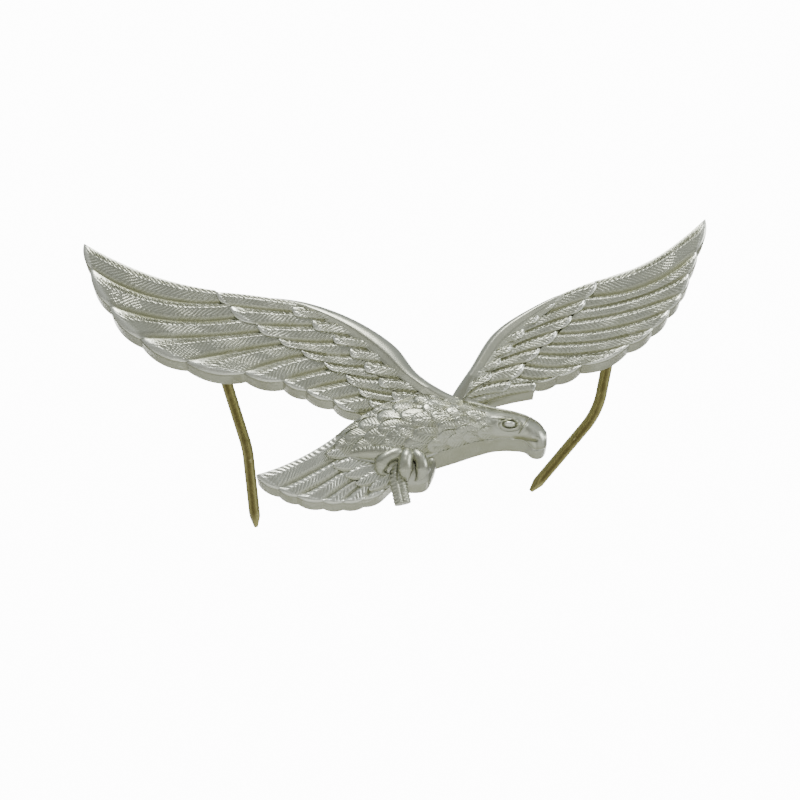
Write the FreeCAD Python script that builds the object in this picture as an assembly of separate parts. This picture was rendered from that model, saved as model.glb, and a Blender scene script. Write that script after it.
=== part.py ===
import FreeCAD, Part
import math
import os

# Cap badge: a die-struck eagle in flight with two bendable brass prongs soldered to its back.
# +Z is up as the badge is worn, -Y is the struck face, and y = 0 is the back rim that lies on the cap.
# All sizes are millimetres. Positions on the face are written (x, z).

EDGE_DEPTH = 2.2
WEB_DEPTH = 1.75
POCKET_DEPTH = 1.3
BODY_POCKET_DEPTH = 1.9
GROOVE_SHARE = 0.06
TIP_SAG = 0.11
RIB_WIDTH = 0.24
RIB_HEIGHT = 0.14
BACK_START = -0.4
BACK_CLEAR = 20.0

WIRE_RADIUS = 0.6
PAD_RADIUS = 2.0
PAD_THICKNESS = 0.4
SOLDER_RADIUS = 1.3
SOLDER_HEIGHT = 0.3
HINGE_DEPTH = 0.15
FOOT_TOP = -0.5
LEG_LEAN = 50.0
POINT_LENGTH = 1.9
POINT_RADIUS = 0.16

# Each prong: root (x, z), sideways angle of its first straight, first length, bend radius, bend angle,
# last straight length. Angles are positive towards +X, measured from straight down the leaning plane.
LEFT_PRONG = (-23.9, 12.3, 15.5, 12.8, 12.0, -11.0, 6.0)
RIGHT_PRONG = (19.5, 13.5, -9.0, 8.35, 8.5, -29.0, 7.4)

# The long upper edge of each wing, from the body out to the tip.
LEFT_LEAD = [(1.5, 3.7), (-1.6, 5.8), (-4.0, 8.9), (-7.2, 11.4), (-12.4, 13.9), (-17.8, 14.9),
             (-23.2, 15.5), (-30.2, 17.3), (-37.6, 21.1)]
RIGHT_LEAD = [(2.0, 3.7), (3.7, 6.1), (6.5, 10.4), (10.7, 13.4), (17.3, 16.5), (23.9, 19.3),
              (29.6, 24.2)]

# Grooves between feathers, each (root, middle, tip), listed from the leading edge down.
LEFT_FLIGHT = [
    ((-23.2, 15.5), (-30.2, 17.3), (-37.6, 21.1)),
    ((-22.3, 14.2), (-30.0, 14.9), (-36.7, 18.3)),
    ((-20.0, 12.5), (-27.0, 12.0), (-34.4, 13.8)),
    ((-17.8, 10.8), (-24.0, 10.2), (-30.9, 9.9)),
    ((-15.6, 9.4), (-20.9, 8.4), (-26.0, 7.2)),
    ((-13.2, 8.1), (-16.4, 7.3), (-19.8, 5.9)),
    ((-10.5, 6.6), (-13.3, 5.9), (-15.8, 5.0)),
    ((-8.3, 5.2), (-10.9, 4.7), (-13.4, 3.9)),
    ((-7.1, 3.6), (-9.0, 3.2), (-10.6, 2.8)),
    ((-5.6, 1.7), (-7.0, 1.6), (-8.4, 1.5)),
]
LEFT_COVERT = [
    ((-14.6, 14.3), (-19.0, 14.9), (-23.4, 15.3)),
    ((-13.8, 12.7), (-17.8, 12.9), (-21.9, 13.7)),
    ((-11.2, 11.3), (-15.0, 11.1), (-18.9, 11.4)),
    ((-8.8, 9.6), (-12.6, 9.4), (-16.6, 9.9)),
    ((-7.6, 8.0), (-11.0, 7.9), (-14.2, 8.6)),
    ((-6.2, 6.7), (-8.9, 6.6), (-11.8, 7.2)),
    ((-5.0, 5.3), (-7.3, 5.3), (-9.4, 5.8)),
    ((-4.2, 3.4), (-6.2, 3.7), (-8.1, 4.2)),
]
LEFT_TUFT = [
    ((-12.0, 13.7), (-13.6, 13.8), (-15.2, 13.9)),
    ((-9.6, 11.9), (-11.4, 12.0), (-13.1, 12.2)),
    ((-7.6, 10.2), (-9.2, 10.3), (-10.8, 10.6)),
    ((-6.0, 8.4), (-7.4, 8.6), (-9.0, 8.9)),
    ((-4.6, 6.4), (-5.9, 6.9), (-7.4, 7.3)),
    ((-2.8, 4.3), (-4.2, 4.9), (-6.0, 5.4)),
    ((-1.0, 2.3), (-2.6, 3.2), (-4.6, 3.6)),
]
RIGHT_FLIGHT = [
    ((17.3, 16.5), (23.9, 19.3), (29.6, 24.2)),
    ((16.2, 14.9), (22.2, 16.0), (28.3, 20.4)),
    ((15.2, 13.4), (21.2, 14.6), (27.3, 17.7)),
    ((14.3, 11.9), (20.4, 13.1), (26.4, 15.3)),
    ((13.0, 10.5), (19.4, 11.3), (25.0, 13.4)),
    ((11.7, 9.3), (17.6, 9.7), (23.1, 11.2)),
    ((10.6, 8.2), (15.8, 8.2), (20.5, 9.3)),
    ((9.4, 6.9), (12.8, 6.6), (15.4, 6.9)),
    ((8.3, 5.7), (10.6, 5.2), (12.8, 5.6)),
    ((7.3, 4.5), (8.9, 4.7), (10.5, 4.9)),
]
RIGHT_COVERT = [
    ((12.6, 14.4), (15.0, 15.4), (17.5, 16.3)),
    ((10.4, 12.0), (13.2, 13.3), (16.2, 14.5)),
    ((8.9, 10.2), (11.7, 11.5), (14.7, 12.6)),
    ((7.7, 8.6), (10.3, 9.8), (13.1, 10.8)),
    ((6.6, 7.2), (8.9, 8.1), (11.2, 8.8)),
    ((5.4, 5.6), (7.4, 6.5), (9.5, 7.0)),
    ((4.2, 4.0), (6.0, 4.7), (8.0, 5.0)),
]
RIGHT_TUFT = [
    ((9.4, 12.3), (11.2, 13.4), (13.2, 14.3)),
    ((7.4, 10.3), (9.2, 11.4), (11.0, 12.3)),
    ((5.9, 8.6), (7.6, 9.4), (9.2, 10.2)),
    ((4.8, 6.8), (6.2, 7.4), (7.6, 7.9)),
    ((3.6, 4.4), (4.8, 5.2), (6.0, 5.7)),
]
TAIL = [
    ((-8.6, 0.2), (-13.4, -3.4), (-18.2, -5.5)),
    ((-9.5, -3.3), (-12.4, -5.1), (-15.9, -7.0)),
    ((-9.2, -4.7), (-11.4, -6.3), (-14.0, -7.8)),
    ((-8.4, -6.0), (-9.9, -7.1), (-11.4, -8.3)),
    ((-7.4, -6.5), (-8.4, -7.3), (-9.4, -8.4)),
    ((-6.2, -6.6), (-6.7, -7.3), (-7.3, -8.1)),
    ((-4.4, -6.0), (-4.9, -6.6), (-5.2, -7.2)),
]

# Smooth arm of each wing: (x, z, half width) along its middle.
LEFT_ARM = [(-14.4, 13.9, 0.45), (-10.6, 12.5, 0.85), (-7.2, 10.1, 1.15), (-4.4, 7.3, 1.5),
            (-1.9, 4.3, 1.7), (0.4, 2.0, 1.9)]
RIGHT_ARM = [(13.2, 14.4, 0.4), (10.0, 12.4, 0.65), (7.3, 10.2, 0.85), (5.4, 7.6, 0.95),
             (4.0, 5.0, 0.9), (2.6, 2.4, 1.0)]

# Body, neck and head sections: (x, lowest z, highest z, depth of the crest).
BODY = [(-10.2, -3.2, -1.2, 2.5), (-8.0, -4.0, 0.5, 3.3), (-5.0, -4.5, 2.2, 4.1), (-1.0, -4.2, 3.5, 4.5),
        (2.0, -3.3, 3.2, 4.4), (4.3, -2.3, 2.5, 4.0), (6.2, -1.9, 1.7, 3.6), (8.0, -1.9, 1.3, 3.3),
        (9.6, -2.0, 0.6, 3.0)]
BEAK = [(9.2, -0.7, 1.35, 3.05), (10.3, -0.95, 1.05, 2.95), (11.0, -1.6, 0.7, 2.75), (10.9, -2.35, 0.4, 2.5)]
SCALES = [(-7.8, -1.6), (-6.4, -0.3), (-6.0, -2.2), (-4.6, -0.1), (-4.4, 1.4), (-2.8, -1.1), (-2.6, 1.4),
          (-1.2, 0.2), (0.4, 1.9), (-0.7, -2.3), (1.5, -1.0), (2.4, 1.2), (1.9, -2.1), (4.2, -0.6)]
EYE = (7.6, -0.35)
TOES = [(-4.9, -4.4, 20.0), (-3.1, -4.8, 4.0), (-1.4, -4.9, -16.0)]

# Hollows in the back, each a closed loop.
LEFT_POCKET = [(-32.0, 14.6), (-27.0, 14.9), (-20.0, 13.9), (-12.0, 12.0), (-7.0, 8.8), (-8.5, 5.8),
               (-13.5, 6.4), (-20.0, 7.3), (-26.0, 8.5), (-30.5, 11.2)]
RIGHT_POCKET = [(6.8, 7.4), (8.8, 10.4), (13.0, 13.2), (18.5, 15.6), (23.6, 16.8), (24.6, 15.2),
                (21.9, 11.2), (17.6, 8.9), (11.5, 7.2), (8.4, 6.2)]
BODY_POCKET = [(-7.6, -1.2), (-5.0, 0.7), (-1.0, 1.6), (3.2, 1.0), (5.6, 0.0), (4.2, -1.2), (0.4, -2.4),
               (-4.5, -2.9)]


def at(point, depth):
    return FreeCAD.Vector(point[0], -depth, point[1])


def between(a, b, share):
    return (a[0] + (b[0] - a[0]) * share, a[1] + (b[1] - a[1]) * share)


def moved(point, dx, dz):
    return (point[0] + dx, point[1] + dz)


def curve(points):
    spline = Part.BSplineCurve()
    spline.interpolate([at(p, 0.0) for p in points])
    return spline.toShape()


def straight(a, b):
    return Part.makeLine(at(a, 0.0), at(b, 0.0))


def prism(edges, near_depth, far_depth):
    wire = Part.Wire(Part.__sortEdges__(edges))
    face = Part.Face(wire)
    face.translate(FreeCAD.Vector(0, -near_depth, 0))
    return face.extrude(FreeCAD.Vector(0, near_depth - far_depth, 0))


def tip_middle(a, b, root_a):
    chord = (b[0] - a[0], b[1] - a[1])
    length = math.hypot(chord[0], chord[1])
    normal = (chord[1] / length, -chord[0] / length)
    inward = (root_a[0] - a[0], root_a[1] - a[1])
    if normal[0] * inward[0] + normal[1] * inward[1] > 0:
        normal = (-normal[0], -normal[1])
    middle = between(a, b, 0.5)
    return moved(middle, normal[0] * TIP_SAG * length, normal[1] * TIP_SAG * length)


def feather(upper, lower, near_depth, far_depth):
    # A strip between two grooves, standing clear of both, with a round tip.
    top = [between(u, v, GROOVE_SHARE) for u, v in zip(upper, lower)]
    low = [between(u, v, 1.0 - GROOVE_SHARE) for u, v in zip(upper, lower)]
    round_tip = Part.Arc(at(top[2], 0), at(tip_middle(top[2], low[2], top[0]), 0), at(low[2], 0)).toShape()
    return prism([curve(top), round_tip, curve(low), straight(low[0], top[0])], near_depth, far_depth)


def shaft(upper, lower, height):
    # The raised quill along the feather, a third of the way down from its upper groove.
    middle = [between(u, v, 0.34) for u, v in zip(upper, lower)]
    middle[2] = between(middle[1], middle[2], 0.86)
    half = RIB_WIDTH / 2.0
    above = [moved(p, 0, half) for p in middle]
    below = [moved(p, 0, -half) for p in middle]
    ends = [straight(above[0], below[0]), straight(above[2], below[2])]
    return prism([curve(above), curve(below)] + ends, height - 0.3, height + RIB_HEIGHT)


def fan(grooves, near_depth, first_depth, step):
    pieces = []
    for index in range(len(grooves) - 1):
        depth = first_depth + step * index
        upper = grooves[index]
        lower = grooves[index + 1]
        pieces.append(feather(upper, lower, near_depth, depth))
        pieces.append(shaft(upper, lower, depth))
    return pieces


def web(lead, grooves, body_points):
    # The plate that joins the feathers, kept just inside their round tips.
    top = [moved(p, 0, -0.12) for p in lead]
    top[-1] = between(grooves[0][2], grooves[0][1], 0.08)
    tips = [between(g[2], g[1], 0.04) for g in grooves[1:]]
    edges = [curve(top), straight(top[-1], tips[0]), curve(tips)]
    corners = [tips[-1]] + body_points + [top[0]]
    for a, b in zip(corners[:-1], corners[1:]):
        edges.append(straight(a, b))
    return prism(edges, BACK_START, WEB_DEPTH)


def arm(stations, depth_share):
    sections = []
    for index, (x, z, half) in enumerate(stations):
        before = stations[max(index - 1, 0)]
        after = stations[min(index + 1, len(stations) - 1)]
        along = FreeCAD.Vector(after[0] - before[0], 0, after[1] - before[1])
        ring = Part.makeCircle(half, FreeCAD.Vector(x, -EDGE_DEPTH - depth_share * half, z), along)
        sections.append(Part.Wire(ring))
    return Part.makeLoft(sections, True, False)


def arm_edge(lead, stations):
    # The upright edge under the arm, from the leading edge in to the arm's middle line.
    outer = lead[: len(lead) - 3]
    inner = [(x, z) for x, z, half in stations]
    edges = [curve(outer), curve(inner), straight(outer[0], inner[-1]), straight(outer[-1], inner[0])]
    return prism(edges, BACK_START, EDGE_DEPTH + 0.15)


def dome_section(x, low, high, crest):
    # An upright edge on each side with half an ellipse over them.
    middle = (low + high) / 2.0
    half = (high - low) / 2.0
    shoulder = min(EDGE_DEPTH, crest - 0.4)
    quarter = math.sqrt(0.5)
    rise = crest - shoulder
    points = [
        FreeCAD.Vector(x, -shoulder, low),
        FreeCAD.Vector(x, -shoulder - rise * quarter, middle - half * quarter),
        FreeCAD.Vector(x, -crest, middle),
        FreeCAD.Vector(x, -shoulder - rise * quarter, middle + half * quarter),
        FreeCAD.Vector(x, -shoulder, high),
    ]
    spline = Part.BSplineCurve()
    spline.interpolate(points)
    back_low = FreeCAD.Vector(x, -BACK_START, low)
    back_high = FreeCAD.Vector(x, -BACK_START, high)
    edges = [
        Part.makeLine(back_low, points[0]),
        spline.toShape(),
        Part.makeLine(points[-1], back_high),
        Part.makeLine(back_high, back_low),
    ]
    return Part.Wire(edges)


def crest_at(x, z):
    # Depth of the body's dome at a point, found between its sections.
    for a, b in zip(BODY[:-1], BODY[1:]):
        if a[0] <= x <= b[0]:
            share = (x - a[0]) / (b[0] - a[0])
            low, high, crest = [p + (q - p) * share for p, q in zip(a[1:], b[1:])]
            across = (2.0 * z - low - high) / (high - low)
            return EDGE_DEPTH + (crest - EDGE_DEPTH) * math.sqrt(max(0.0, 1.0 - across * across))
    return EDGE_DEPTH


def scale(point):
    # One overlapping body feather: a disc whose free edge, towards the tail, stands proud.
    depth = crest_at(point[0], point[1])
    slope_x = crest_at(point[0] + 0.4, point[1]) - crest_at(point[0] - 0.4, point[1])
    slope_z = crest_at(point[0], point[1] + 0.4) - crest_at(point[0], point[1] - 0.4)
    axis = FreeCAD.Vector(-slope_x / 0.8 - 0.14, -1.0, -slope_z / 0.8)
    axis.normalize()
    base = at(point, depth) - axis * 0.5
    return Part.makeCylinder(1.15, 0.56, base, axis)


def toe(x, z, lean):
    # A curled toe: a ring that goes over and down round the perch.
    ring = Part.makeTorus(1.25, 0.48)
    ring.rotate(FreeCAD.Vector(0, 0, 0), FreeCAD.Vector(0, 1, 0), 90)
    ring.rotate(FreeCAD.Vector(0, 0, 0), FreeCAD.Vector(0, 1, 0), lean)
    ring.translate(FreeCAD.Vector(x, -1.9, z))
    return ring


def pocket(points, depth):
    loop = Part.BSplineCurve()
    loop.interpolate([at(p, 0.0) for p in points], True)
    face = Part.Face(Part.Wire(loop.toShape()))
    face.translate(FreeCAD.Vector(0, 1.0, 0))
    return face.extrude(FreeCAD.Vector(0, -1.0 - depth, 0))


def make_eagle():
    pieces = []
    pieces.append(web(LEFT_LEAD, LEFT_FLIGHT, [(-6.0, 0.6), (0.0, 0.0)]))
    pieces.append(web(RIGHT_LEAD, RIGHT_FLIGHT, [(6.9, 3.6), (4.4, 2.0), (2.4, 0.5)]))
    pieces += fan(LEFT_FLIGHT, BACK_START, 2.36, -0.02)
    pieces += fan(RIGHT_FLIGHT, BACK_START, 2.36, -0.02)
    pieces += fan(LEFT_COVERT, 0.9, 2.72, -0.015)
    pieces += fan(RIGHT_COVERT, 0.9, 2.72, -0.015)
    pieces += fan(LEFT_TUFT, 0.9, 3.02, 0.01)
    pieces += fan(RIGHT_TUFT, 0.9, 3.02, 0.01)
    pieces += fan(TAIL, BACK_START, 2.5, -0.03)
    pieces.append(arm(LEFT_ARM, -0.45))
    pieces.append(arm(RIGHT_ARM, -0.35))
    pieces.append(arm_edge(LEFT_LEAD, LEFT_ARM))
    pieces.append(arm_edge(RIGHT_LEAD, RIGHT_ARM))
    stub_feather = [(5.4, 4.3), (10.5, 4.75), (10.3, 3.9), (6.8, 3.25), (4.2, 2.2)]
    corners = stub_feather + stub_feather[:1]
    sides = [straight(a, b) for a, b in zip(corners[:-1], corners[1:])]
    pieces.append(prism(sides, BACK_START, 2.25))

    pieces.append(Part.makeLoft([dome_section(*station) for station in BODY], True, False))
    beak_rings = []
    for index, (x, z, half, depth) in enumerate(BEAK):
        before = BEAK[max(index - 1, 0)]
        after = BEAK[min(index + 1, len(BEAK) - 1)]
        along = FreeCAD.Vector(after[0] - before[0], 0, after[1] - before[1])
        beak_rings.append(Part.Wire(Part.makeCircle(half, FreeCAD.Vector(x, half - depth, z), along)))
    pieces.append(Part.makeLoft(beak_rings, True, False))
    beak_edge = [(8.8, 0.95), (10.2, 0.3), (11.25, -1.0), (11.2, -2.2), (10.5, -2.7), (9.8, -2.3),
                 (8.8, -1.9)]
    sides = [curve(beak_edge), straight(beak_edge[-1], beak_edge[0])]
    pieces.append(prism(sides, BACK_START, 2.05))
    pieces += [scale(point) for point in SCALES]
    eye_depth = crest_at(EYE[0], EYE[1])
    pieces.append(Part.makeSphere(0.42, at(EYE, eye_depth - 0.14)))
    brow = Part.makeCylinder(0.26, 2.6, FreeCAD.Vector(5.9, -eye_depth + 0.1, 0.55), FreeCAD.Vector(1, 0, 0))
    pieces.append(brow)

    thigh = Part.makeSphere(1.0)
    stretch = FreeCAD.Matrix()
    stretch.scale(3.4, 1.5, 1.15)
    thigh = thigh.transformGeometry(stretch)
    thigh.translate(FreeCAD.Vector(-6.6, -2.4, -3.7))
    pieces.append(thigh)
    foot_edge = [(-6.2, -4.0), (-5.7, -5.2), (-3.6, -6.4), (-1.5, -6.5), (-0.7, -5.5), (0.1, -4.0)]
    sides = [curve(foot_edge), straight(foot_edge[-1], foot_edge[0])]
    pieces.append(prism(sides, BACK_START, 2.3))
    pieces += [toe(*station) for station in TOES]
    perch = [(-4.9, -5.6), (-2.9, -5.3), (-2.55, -8.1), (-4.0, -8.3)]
    corners = perch + perch[:1]
    sides = [straight(a, b) for a, b in zip(corners[:-1], corners[1:])]
    pieces.append(prism(sides, BACK_START, 2.3))
    tail_web = [(-8.8, -0.6), (-13.2, -4.1), (-16.6, -5.6), (-14.4, -7.0), (-11.3, -7.7), (-7.3, -7.4),
                (-4.6, -6.4)]
    sides = [curve(tail_web), straight(tail_web[-1], tail_web[0])]
    pieces.append(prism(sides, BACK_START, WEB_DEPTH + 0.1))

    # Every piece starts behind the rim plane and is trimmed to it, so the rim is one flat face.
    solid = pieces[0].multiFuse(pieces[1:])
    behind = Part.makeBox(120, BACK_CLEAR, 80, FreeCAD.Vector(-60, 0, -30))
    solid = solid.cut(behind)
    solid = solid.cut(pocket(LEFT_POCKET, POCKET_DEPTH))
    solid = solid.cut(pocket(RIGHT_POCKET, POCKET_DEPTH))
    solid = solid.cut(pocket(BODY_POCKET, BODY_POCKET_DEPTH))
    return solid


def leg_path(prong):
    # Centreline of a bent leg on its leaning plane: a straight, a bend, a straight and the point.
    root_x, root_z, angle, first, radius, bend, last = prong
    lean = math.radians(LEG_LEAN)

    def place(along_x, down):
        return FreeCAD.Vector(
            root_x + along_x,
            HINGE_DEPTH + down * math.cos(lean),
            root_z - down * math.sin(lean),
        )

    a0 = math.radians(angle)
    a1 = math.radians(angle + bend)
    side = 1.0 if bend > 0 else -1.0
    start = (0.0, 0.0)
    bend_start = (first * math.sin(a0), first * math.cos(a0))
    centre = (bend_start[0] + side * radius * math.cos(a0), bend_start[1] - side * radius * math.sin(a0))

    def on_bend(turn):
        return (centre[0] - side * radius * math.cos(turn), centre[1] + side * radius * math.sin(turn))

    bend_end = on_bend(a1)
    shoulder = (bend_end[0] + last * math.sin(a1), bend_end[1] + last * math.cos(a1))
    tip = (shoulder[0] + POINT_LENGTH * math.sin(a1), shoulder[1] + POINT_LENGTH * math.cos(a1))
    return [place(*p) for p in (start, bend_start, on_bend((a0 + a1) / 2.0), bend_end, shoulder, tip)]


def make_leg(prong):
    start, bend_start, bend_middle, bend_end, shoulder, tip = leg_path(prong)
    run = Part.Wire([
        Part.makeLine(start, bend_start),
        Part.Arc(bend_start, bend_middle, bend_end).toShape(),
        Part.makeLine(bend_end, shoulder),
    ])
    outline = Part.Wire(Part.makeCircle(WIRE_RADIUS, start, bend_start - start))
    wire = run.makePipeShell([outline], True, False)
    direction = tip - shoulder
    point = Part.makeCone(WIRE_RADIUS, POINT_RADIUS, POINT_LENGTH, shoulder, direction)
    knuckle = Part.makeSphere(WIRE_RADIUS, start)
    return wire.fuse(point).fuse(knuckle).removeSplitter()


def make_foot(prong):
    base = FreeCAD.Vector(prong[0], -POCKET_DEPTH + PAD_THICKNESS, prong[1])
    height = FOOT_TOP + POCKET_DEPTH - PAD_THICKNESS
    return Part.makeCylinder(WIRE_RADIUS, height, base, FreeCAD.Vector(0, 1, 0))


def make_pad(prong):
    base = FreeCAD.Vector(prong[0], -POCKET_DEPTH, prong[1])
    return Part.makeCylinder(PAD_RADIUS, PAD_THICKNESS, base, FreeCAD.Vector(0, 1, 0))


def make_solder(prong):
    base = FreeCAD.Vector(prong[0], -POCKET_DEPTH + PAD_THICKNESS, prong[1])
    up = FreeCAD.Vector(0, 1, 0)
    cone = Part.makeCone(SOLDER_RADIUS, WIRE_RADIUS + 0.1, SOLDER_HEIGHT, base, up)
    return cone.cut(Part.makeCylinder(WIRE_RADIUS, 2.0, base, up))


os.makedirs("parts", exist_ok=True)

nodes = {"eagle": make_eagle()}
for side, prong in (("left", LEFT_PRONG), ("right", RIGHT_PRONG)):
    nodes[side + "_prong_pad"] = make_pad(prong)
    nodes[side + "_solder"] = make_solder(prong)
    nodes[side + "_prong_foot"] = make_foot(prong)
    nodes[side + "_prong"] = make_leg(prong)

for name, shape in nodes.items():
    shape.exportStep("parts/" + name + ".step")
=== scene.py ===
import math

import bpy
import numpy as np
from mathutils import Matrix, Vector


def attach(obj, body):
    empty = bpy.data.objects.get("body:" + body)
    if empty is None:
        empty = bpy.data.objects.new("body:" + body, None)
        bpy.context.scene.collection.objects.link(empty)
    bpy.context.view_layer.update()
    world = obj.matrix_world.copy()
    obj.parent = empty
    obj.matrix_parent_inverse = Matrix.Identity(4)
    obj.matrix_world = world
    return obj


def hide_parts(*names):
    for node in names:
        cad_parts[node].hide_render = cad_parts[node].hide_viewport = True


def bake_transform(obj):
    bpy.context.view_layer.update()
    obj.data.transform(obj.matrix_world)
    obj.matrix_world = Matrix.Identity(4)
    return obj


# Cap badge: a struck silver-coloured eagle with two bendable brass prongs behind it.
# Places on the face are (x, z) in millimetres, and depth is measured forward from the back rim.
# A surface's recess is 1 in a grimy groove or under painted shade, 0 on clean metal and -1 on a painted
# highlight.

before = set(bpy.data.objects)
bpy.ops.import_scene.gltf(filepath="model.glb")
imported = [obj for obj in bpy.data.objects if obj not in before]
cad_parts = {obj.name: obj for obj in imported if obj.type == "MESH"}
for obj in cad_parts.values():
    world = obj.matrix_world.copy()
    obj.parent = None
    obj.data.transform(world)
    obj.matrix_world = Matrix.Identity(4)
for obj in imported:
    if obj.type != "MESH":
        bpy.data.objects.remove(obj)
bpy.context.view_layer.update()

MM = 0.001
EDGE_DEPTH = 2.2
WEB_DEPTH = 2.05
POCKET_DEPTH = 1.3
BODY_POCKET_DEPTH = 1.9
# The back goes from rim to pocket floor between these distances inside a pocket's outline.
POCKET_SLOPE = (-0.1, 0.5)
FEATHER_BACK = POCKET_DEPTH + 0.2
ARM_BACK = 1.4
ARM_FOOT = 1.7
LEAST_WALL = 0.5

# Depths of the layers of feathers, and the step from one feather to the next.
FLIGHT_DEPTH = (2.42, -0.01)
COVERT_DEPTH = (2.66, -0.01)
TUFT_DEPTH = (2.86, 0.01)
TUFT_ROOT_RISE = 0.10
TAIL_DEPTH = (2.48, -0.02)
TROUSER_DEPTH = (2.80, -0.03)
STUB_DEPTH = 2.38

# Painted shade on the walls, the backs and the smooth arms, given as recess, and how much lighter
# the tail's colour is made.
WALL_PAINTED_SHADE = 0.45
BACK_PAINTED_SHADE = 0.6
ARM_PAINTED_SHADE = 0.15
TAIL_LIGHTENING = 0.45

# One feather: the columns across it, where its shaft lies, how round its tip is, and its rows.
ACROSS = np.concatenate([[0.0, 0.025], np.linspace(0.07, 0.93, 24), [0.975, 1.0]])
SHAFT_SHARE = 0.32
SHAFT_HEIGHT = 0.06
GROOVE_SHARE = 0.003
TIP_BULGE = 0.115
TIP_LIP = 0.07
ROW_LENGTH = 0.078
ROW_LIMITS = (30, 190)
# Barbs above and below the shaft: spacing, slant towards the tip, and where they fade out across.
BARB_SPACING = (0.58, 0.50)
BARB_SLANT = (1.0, 1.5)
BARB_FADE_FROM = (0.50, 0.72)
BARB_FADE_TO = (0.92, 1.0)

LEFT_LEAD = [(1.5, 3.7), (-1.6, 5.8), (-4.0, 8.9), (-7.2, 11.4), (-12.4, 13.9), (-17.8, 14.9),
             (-23.2, 15.6), (-30.2, 17.45), (-34.2, 19.3), (-37.6, 21.25)]
RIGHT_LEAD = [(2.0, 3.8), (3.6, 6.25), (6.3, 10.6), (10.5, 13.6), (17.2, 16.75), (23.8, 19.6), (27.1, 22.15),
              (29.45, 24.3)]

# Grooves between feathers, each from root to tip, listed from the leading edge down.
LEFT_FLIGHT = [
    ((-23.2, 15.6), (-30.2, 17.45), (-34.2, 19.3), (-37.6, 21.25)),
    ((-22.3, 14.2), (-30.0, 14.9), (-36.7, 18.3)),
    ((-20.0, 12.5), (-27.0, 12.0), (-34.4, 13.8)),
    ((-17.8, 10.8), (-24.0, 10.2), (-30.9, 9.9)),
    ((-15.6, 9.4), (-20.9, 8.4), (-26.0, 7.2)),
    ((-13.2, 8.1), (-16.4, 7.3), (-19.8, 5.9)),
    ((-10.5, 6.6), (-13.3, 5.9), (-15.8, 5.0)),
    ((-8.3, 5.2), (-10.9, 4.7), (-13.4, 3.9)),
    ((-7.1, 3.6), (-9.0, 3.2), (-10.6, 2.8)),
    ((-5.6, 1.7), (-7.0, 1.6), (-8.4, 1.5)),
]
LEFT_COVERT = [
    ((-14.0, 13.9), (-18.7, 14.8), (-23.2, 15.3)),
    ((-12.8, 12.7), (-17.6, 13.2), (-21.9, 13.7)),
    ((-10.9, 11.3), (-15.0, 11.3), (-18.9, 11.4)),
    ((-8.8, 9.6), (-12.6, 9.4), (-16.6, 9.9)),
    ((-7.6, 8.0), (-11.0, 7.9), (-14.2, 8.6)),
    ((-6.2, 6.7), (-8.9, 6.6), (-11.8, 7.2)),
    ((-5.0, 5.3), (-7.3, 5.3), (-9.4, 5.8)),
    ((-4.2, 3.4), (-6.2, 3.7), (-8.1, 4.2)),
    ((-3.4, 2.2), (-5.1, 2.5), (-6.9, 2.9)),
    ((-3.4, 1.2), (-4.8, 1.4), (-6.2, 1.7)),
]
LEFT_TUFT = [
    ((-11.0, 12.8), (-13.2, 13.2), (-15.4, 13.5)),
    ((-9.0, 11.3), (-11.3, 11.7), (-13.3, 12.0)),
    ((-6.8, 9.6), (-9.1, 10.0), (-11.0, 10.3)),
    ((-4.9, 7.9), (-7.1, 8.4), (-9.2, 8.7)),
    ((-3.2, 6.1), (-5.4, 6.8), (-7.6, 7.1)),
    ((-1.5, 4.4), (-3.8, 5.0), (-6.1, 5.3)),
    ((0.2, 3.0), (-2.1, 3.5), (-4.8, 3.7)),
    ((1.6, 1.8), (-0.8, 2.1), (-3.2, 2.3)),
]
RIGHT_FLIGHT = [
    ((17.2, 16.75), (23.8, 19.6), (27.1, 22.15), (29.45, 24.3)),
    ((16.2, 14.9), (22.2, 16.0), (28.3, 20.4)),
    ((15.2, 13.4), (21.2, 14.6), (27.3, 17.7)),
    ((14.3, 11.9), (20.4, 13.1), (26.4, 15.3)),
    ((13.0, 10.5), (19.4, 11.3), (25.0, 13.4)),
    ((11.7, 9.3), (17.6, 9.7), (23.1, 11.2)),
    ((10.6, 8.2), (15.8, 8.2), (20.5, 9.3)),
    ((9.4, 6.9), (12.8, 6.6), (15.4, 6.9)),
    ((8.3, 5.7), (10.6, 5.2), (12.8, 5.6)),
    ((7.3, 4.5), (8.9, 4.7), (10.5, 4.9)),
]
RIGHT_COVERT = [
    ((11.7, 14.1), (14.9, 15.7), (17.4, 16.7)),
    ((9.6, 11.6), (13.2, 13.3), (16.2, 14.5)),
    ((8.1, 9.8), (11.7, 11.5), (14.7, 12.6)),
    ((6.9, 8.2), (10.3, 9.8), (13.1, 10.8)),
    ((5.9, 6.9), (8.9, 8.1), (11.2, 8.8)),
    ((4.7, 5.3), (7.4, 6.5), (9.5, 7.0)),
    ((3.6, 3.7), (6.0, 4.7), (8.0, 5.0)),
    ((3.3, 2.75), (5.4, 3.3), (7.0, 3.6)),
]
RIGHT_TUFT = [
    ((9.4, 12.3), (11.2, 13.45), (13.2, 14.4)),
    ((7.6, 10.9), (9.35, 12.05), (11.3, 12.95)),
    ((6.3, 9.3), (7.9, 10.3), (9.7, 11.1)),
    ((5.2, 7.6), (6.65, 8.55), (8.3, 9.3)),
    ((4.3, 6.0), (5.6, 6.95), (7.1, 7.7)),
    ((3.5, 4.3), (4.7, 5.3), (6.1, 6.1)),
    ((2.9, 2.7), (3.9, 3.7), (5.0, 4.4)),
]
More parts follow.
